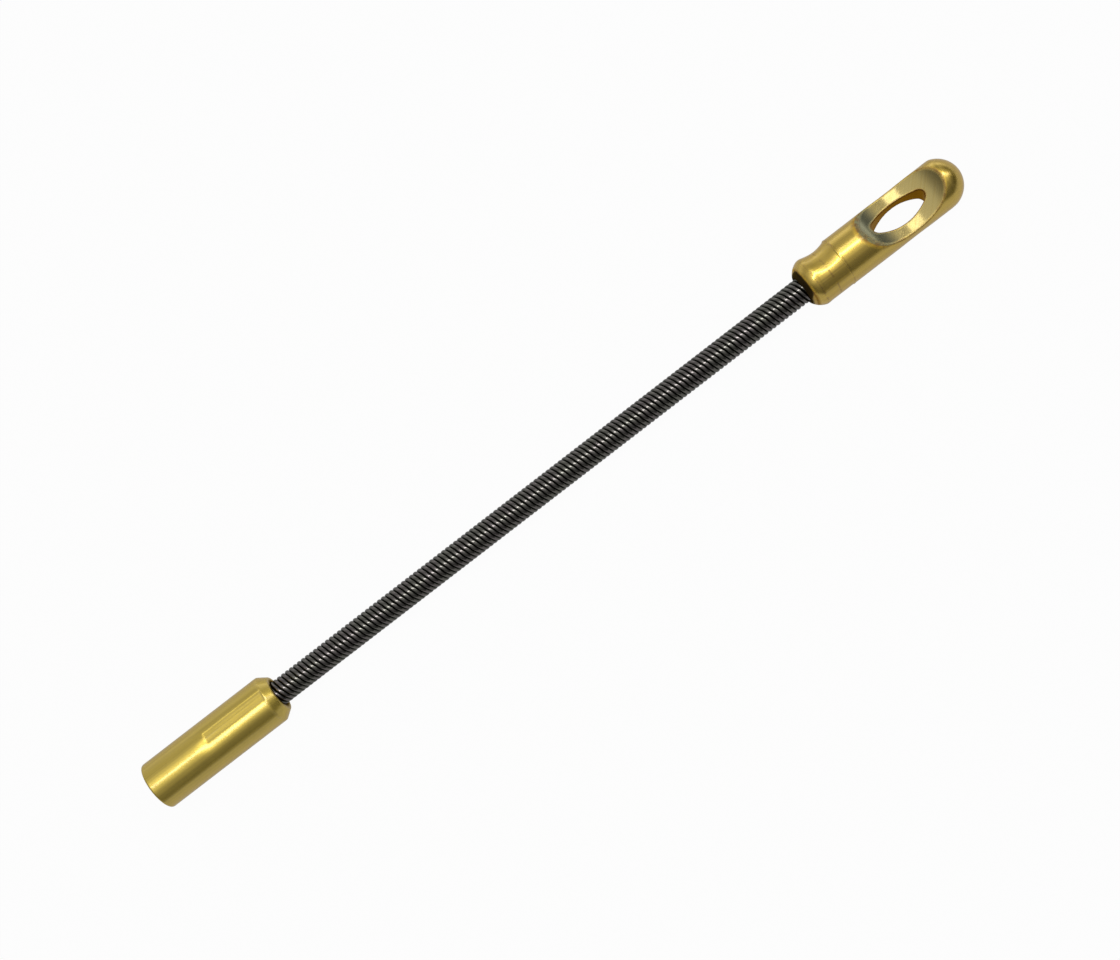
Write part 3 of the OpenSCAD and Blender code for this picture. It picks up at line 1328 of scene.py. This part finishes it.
@dataclass(frozen=True)
class Lamp:
    """A soft rectangular lamp that faces the middle of the leader. Its sizes are in metres.

    A glow of 1 looks white. The swing is the angle in plan between its length and X.
    """

    name: str
    place: tuple[float, float, float]
    size: Span
    glow: float
    swing: float = 0.0
    aim: tuple[float, float, float] = (0.076, 0.0, 0.0)

    def hang(self) -> None:
        """Adds the lamp to the scene."""
        data = bpy.data.lights.new(self.name, "AREA")
        data.shape = "RECTANGLE"
        data.size, data.size_y = self.size
        data.energy = self.glow * math.pi * self.size[0] * self.size[1]
        lamp = bpy.data.objects.new(self.name, data)
        bpy.context.scene.collection.objects.link(lamp)
        place = Vector(self.place)
        back = (place - Vector(self.aim)).normalized()
        swing = math.radians(self.swing)
        across = back.cross(Vector((math.cos(swing), math.sin(swing), 0))).normalized()
        turn = Matrix((across.cross(back), across, back)).transposed().to_4x4()
        lamp.matrix_world = Matrix.Translation(place) @ turn
        lamp.visible_camera = False


@dataclass
class Studio:
    """A pale floor, a soft sky, two lamps and the camera.

    The sky's tones stand at angles from the zenith, above 0 on the near side. Spans of the sky
    are the X part of a direction of length 1, and a sharpness is one over an angle in radians.
    """

    floor_z: float = -4.02
    floor_reach: float = 4000.0
    paper: Span = (0.37, 0.4)
    camera_share: float = 0.97
    mirror_share: float = 0.5
    mirror_tone: float = 0.66
    mirror_front: Span = (-120.0, -20.0)
    sky: tuple[Span, ...] = (
        (-90, 0.66),
        (-70, 0.58),
        (-50, 0.35),
        (-35, 0.41),
        (-18, 0.62),
        (5, 0.8),
        (22, 0.62),
        (40, 0.32),
        (62, 0.165),
        (88, 0.10),
    )
    ends: Span = (0.6, 0.97)
    ends_tone: float = 0.28
    dip: float = 0.3
    dip_rise: Span = (0.29, 0.42)
    dip_fall: Span = (0.55, 0.66)
    streak: float = 2.4
    streak_rise: Span = (0.58, 0.68)
    streak_fall: Span = (0.86, 0.97)
    streak_sharpness: float = 7.0
    horizon: float = 0.6
    horizon_side: Span = (-0.3, 0.4)
    horizon_lean: float = -88.0
    horizon_sharpness: float = 4.0
    lamps: tuple[Lamp, ...] = (
        Lamp("long_strip", (0.178, -0.006, 0.6), (0.9, 0.1), 5.75, 13.4),
        Lamp("small_window", (0.222, 0.215, 0.6), (0.28, 0.06), 2.1),
    )
    camera_distance: float = 245.7
    camera_tilt: float = 19.70
    camera_yaw: float = -1.49
    camera_x: float = 83.23
    camera_drop: float = 0.40
    image_slant: float = math.degrees(math.atan2(0.60993, 0.79246))
    image_width: float = 1120.0
    focal_pixels: float = 1631.0
    sensor_width: float = 36.0

    def floor(self) -> None:
        """Makes the floor, which looks white but keeps the leader's soft shadow."""
        corners = [(-1, -1), (1, -1), (1, 1), (-1, 1)]
        reach = self.floor_reach
        points = np.array([(a * reach, b * reach, self.floor_z) for a, b in corners])
        floor = write_mesh("studio_floor", points, [[0, 1, 2, 3]])
        made, bench = new_material("floor_paper")
        place = bench.place()
        tone = bench.mix(bench.noise(place, scale=0.4), *((t, t, t) for t in self.paper))
        paper = bench.add("ShaderNodeBsdfDiffuse", {"Color": tone})
        path = bench.add("ShaderNodeLightPath").outputs
        mirrored = bench.math("ADD", path["Is Glossy Ray"], path["Is Transmission Ray"])
        front = bench.step(bench.split(place)[1], *self.mirror_front)
        lit = bench.math("MULTIPLY", front, self.mirror_tone)
        level = bench.math("MULTIPLY_ADD", mirrored, lit, path["Is Camera Ray"])
        glow = bench.add("ShaderNodeEmission", {"Color": (1, 1, 1, 1), "Strength": level})
        mirrored = bench.math("MULTIPLY", mirrored, self.mirror_share)
        share = bench.math("MULTIPLY_ADD", path["Is Camera Ray"], self.camera_share, mirrored)
        inputs = {0: share, 1: paper.outputs[0], 2: glow.outputs[0]}
        both = bench.add("ShaderNodeMixShader", inputs)
        bench.add("ShaderNodeOutputMaterial", {"Surface": both.outputs[0]})
        floor.data.materials.append(made)

    def world(self) -> None:
        """Makes the sky that the metal mirrors. The camera sees white instead."""
        world = bpy.data.worlds.new("soft_sky")
        bpy.context.scene.world = world
        world.use_nodes = True
        bench = Bench(world.node_tree)
        east, north, up = bench.split(bench.add("ShaderNodeTexCoord").outputs["Generated"])
        lean = bench.math("ARCTAN2", bench.math("MULTIPLY", north, -1.0), up)
        ends = bench.step(bench.math("ABSOLUTE", east), *self.ends)
        kept = bench.math("MULTIPLY_ADD", ends, self.ends_tone - 1, 1.0)
        level = bench.math("MULTIPLY", self._overhead(bench, lean), kept)
        dip = bench.band(east, self.dip_rise, self.dip_fall)
        level = bench.math("MULTIPLY", level, bench.math("MULTIPLY_ADD", dip, -self.dip, 1.0))
        streak = bench.band(east, self.streak_rise, self.streak_fall)
        streak = bench.math("MULTIPLY", streak, self.streak)
        narrow = bench.bell(lean, self.streak_sharpness)
        level = bench.math("MULTIPLY_ADD", narrow, streak, level)
        away = bench.math("SUBTRACT", lean, math.radians(self.horizon_lean))
        low = bench.bell(away, self.horizon_sharpness)
        side = bench.math("MULTIPLY", bench.step(east, *self.horizon_side), self.horizon)
        level = bench.math("MULTIPLY_ADD", low, side, level)
        tone = bench.add("ShaderNodeCombineColor", {0: level, 1: level, 2: level})
        sky = bench.add("ShaderNodeBackground", {"Color": tone.outputs[0], "Strength": 1.0})
        white = bench.add("ShaderNodeBackground", {"Color": (1, 1, 1, 1), "Strength": 1.0})
        path = bench.add("ShaderNodeLightPath").outputs
        seen = bench.math("ADD", path["Is Camera Ray"], path["Is Transmission Ray"], clamp=True)
        inputs = {0: seen, 1: sky.outputs[0], 2: white.outputs[0]}
        both = bench.add("ShaderNodeMixShader", inputs)
        bench.add("ShaderNodeOutputWorld", {"Surface": both.outputs[0]})

    def _overhead(self, bench: Bench, lean: Plug) -> Plug:
        """Adds the sky's tones from the far horizon over the zenith to the near one.

        Args:
            bench: The bench of the world.
            lean: Angle of a direction from the zenith towards the near side.

        Returns:
            The tone.
        """
        share = bench.math("MULTIPLY_ADD", lean, 1 / math.pi, 0.5, clamp=True)
        node = bench.add("ShaderNodeValToRGB", {0: share})
        stops = node.color_ramp
        stops.interpolation = "B_SPLINE"
        while len(stops.elements) > 1:
            stops.elements.remove(stops.elements[-1])
        for number, (angle, value) in enumerate(self.sky):
            place = 0.5 + angle / 180
            stop = stops.elements[0] if number == 0 else stops.elements.new(place)
            stop.position, stop.color = place, (value, value, value, 1)
        return node.outputs[0]

    def camera(self) -> None:
        """Sets up the camera, turned so that the leader rises from left to right."""
        tilt, yaw = math.radians(self.camera_tilt), math.radians(self.camera_yaw)
        slant = math.radians(self.image_slant)
        across, down = Vector((1, 0, 0)), Vector((0, -math.cos(tilt), -math.sin(tilt)))
        level_look = Vector((0, math.sin(tilt), -math.cos(tilt)))
        look = level_look * math.cos(yaw) + across * math.sin(yaw)
        along = across * math.cos(yaw) - level_look * math.sin(yaw)
        right = along * math.cos(slant) + down * math.sin(slant)
        up = along * math.sin(slant) - down * math.cos(slant)
        place = across * self.camera_x - level_look * self.camera_distance + down * self.camera_drop
        data = bpy.data.cameras.new("view")
        data.sensor_fit = "HORIZONTAL"
        data.sensor_width = self.sensor_width
        data.lens = self.sensor_width * self.focal_pixels / self.image_width
        data.clip_start, data.clip_end = 0.01, 50.0
        camera = bpy.data.objects.new("view", data)
        bpy.context.scene.collection.objects.link(camera)
        turn = Matrix((right, up, -look)).transposed().to_4x4()
        camera.matrix_world = Matrix.Translation(place * MM) @ turn
        bpy.context.scene.camera = camera

    def build(self) -> None:
        """Sets up the whole studio."""
        bpy.context.scene.view_settings.view_transform = "Standard"
        self.floor()
        self.world()
        for lamp in self.lamps:
            lamp.hang()
        self.camera()


def main() -> None:
    """Builds the leader and the studio, and reports each piece."""
    logging.basicConfig(level=logging.INFO, format="%(name)s: %(message)s")
    groups = EffectGroups()
    socket_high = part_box("socket")[1]
    eye_low, eye_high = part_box("eye_head")
    core_low, core_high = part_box("core_rope_1")[0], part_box("core_rope_17")[1]
    eye_start = eye_low.x / MM
    socket_brass = BrassFinish(
        colour=(0.77, 0.565, 0.075),
        shade=(0.58, 0.42, 0.055),
        edge=(0.85, 0.72, 0.34),
        painted_hollow_shade=(0.20, 0.10, 0.02),
        painted_mouth_shade=(0.05, 0.03, 0.015),
        edge_share=0.3,
        edge_dulling=0.15,
        pressed_dulling=0.0,
        roughness=0.37,
        streaks=0.4,
        wave_depth=0.1,
    )
    eye_brass = BrassFinish(
        colour=(0.78, 0.54, 0.07),
        shade=(0.52, 0.34, 0.03),
        edge=(0.36, 0.20, 0.07),
        painted_hollow_shade=(0.28, 0.12, 0.015),
        painted_mouth_shade=(0.045, 0.03, 0.012),
        edge_share=0.9,
        edge_dulling=1.0,
        pressed_dulling=0.05,
        roughness=0.275,
        streaks=0.3,
        wave_depth=0.06,
        creases=tuple(eye_start + s for s in (2.0, 4.37, 7.0)),
    )
    black_wire = SteelFinish(
        colour=(0.182, 0.178, 0.157),
        tint=(0.189, 0.17, 0.167),
        flank=(0.055, 0.06, 0.046),
        roughness=0.17,
    )
    rope_steel = SteelFinish(
        colour=(0.42, 0.42, 0.43),
        tint=(0.34, 0.33, 0.32),
        flank=(0.2, 0.2, 0.2),
        roughness=0.34,
    )
    spans = {
        "socket_floor": core_low.x / MM,
        "flex_start": socket_high.x / MM,
        "flex_end": eye_start,
        "eye_floor": core_high.x / MM,
    }
    socket = Socket(length=socket_high.x / MM)
    eye = PullingEye(start=eye_start, length=(eye_high.x - eye_low.x) / MM)
    made = [socket.build(socket_brass.material("socket_brass", groups))]
    made.append(eye.build(eye_brass.material("eye_brass", groups)))
    wires = outer_wires(spans).build(black_wire.material("black_wire"))
    for number in range(1, 6):
        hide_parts(f"outer_wire_{number}")
    rope = rope_core(spans).build(rope_steel.material("rope_steel"))
    for number in range(1, 17):
        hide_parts(f"core_rope_{number}")
    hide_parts("core_rope_17")
    for piece in made + wires + rope:
        LOG.info("%s: %d faces", piece.name, len(piece.data.polygons))
    Studio().build()


if __name__ == "__main__":
    main()
